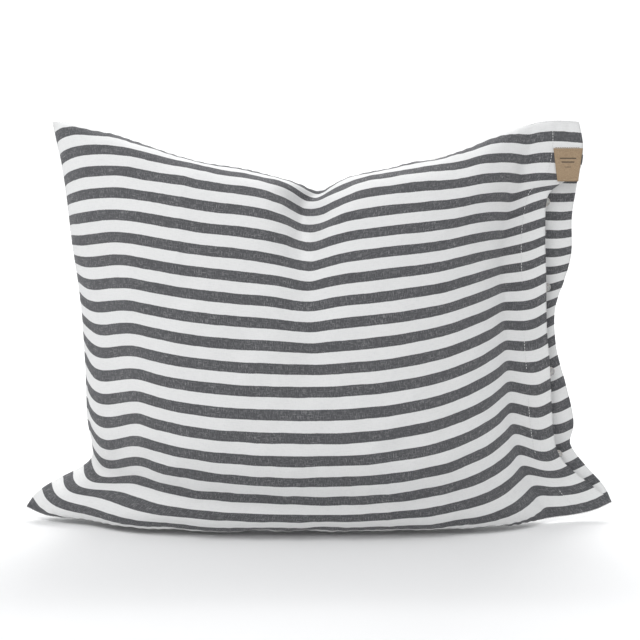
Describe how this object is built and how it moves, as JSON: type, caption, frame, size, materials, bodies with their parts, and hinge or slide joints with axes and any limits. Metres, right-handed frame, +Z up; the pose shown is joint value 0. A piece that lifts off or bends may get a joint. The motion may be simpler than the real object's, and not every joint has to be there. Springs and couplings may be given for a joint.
{
  "type": "throw pillow",
  "caption": "Upright bed pillow in a striped linen case, open at one end between two hems with shanked buttons, with a sewn label and a piped cushion inside.",
  "frame": {"origin": "bottom centre of the object's box, on the surface it stands on", "axes": "+Z up, the front with the chop and the label faces -Y, +X to the right as seen from the front, towards the open hemmed end"},
  "size_m": [0.7004, 0.1896, 0.4724],
  "materials": {
    "linen": "plain-weave linen in charcoal and white stripes",
    "thread": "white sewing thread",
    "ticking": "close-woven natural cotton",
    "filling": "loose filling",
    "button": "pearly",
    "label": "washable kraft paper, matt"
  },
  "bodies": {
    "pillow": {"linen_front": "linen", "linen_back": "linen", "case_seam_thread": "thread", "front_hem_thread": "thread", "back_hem_thread": "thread", "ticking_front": "ticking", "ticking_back": "ticking", "ticking_piping": "ticking", "filling": "filling", "label_thread": "thread"},
    "label_flap": {"label": "label"},
    "button_1_body": {"button_1": "button", "button_1_thread": "thread"},
    "button_2_body": {"button_2": "button", "button_2_thread": "thread"},
    "button_3_body": {"button_3": "button", "button_3_thread": "thread"},
    "button_4_body": {"button_4": "button", "button_4_thread": "thread"}
  },
  "joints": [
    {"name": "label_fold", "type": "hinge", "parent": "pillow", "child": "label_flap", "pos_m": [0.28719, 0.00249, 0.44], "axis": [-1, 0, 0], "range_deg": [0, 110]},
    {"name": "button_1_tilt", "type": "hinge", "parent": "pillow", "child": "button_1_body", "pos_m": [0.26427, 0.01348, 0.378], "axis": [1, 0, 0], "range_deg": [-15, 15]},
    {"name": "button_2_tilt", "type": "hinge", "parent": "pillow", "child": "button_2_body", "pos_m": [0.26685, 0.01348, 0.278], "axis": [1, 0, 0], "range_deg": [-15, 15]},
    {"name": "button_3_tilt", "type": "hinge", "parent": "pillow", "child": "button_3_body", "pos_m": [0.27363, 0.01348, 0.178], "axis": [1, 0, 0], "range_deg": [-15, 15]},
    {"name": "button_4_tilt", "type": "hinge", "parent": "pillow", "child": "button_4_body", "pos_m": [0.28471, 0.01348, 0.078], "axis": [1, 0, 0], "range_deg": [-15, 15]}
  ]
}
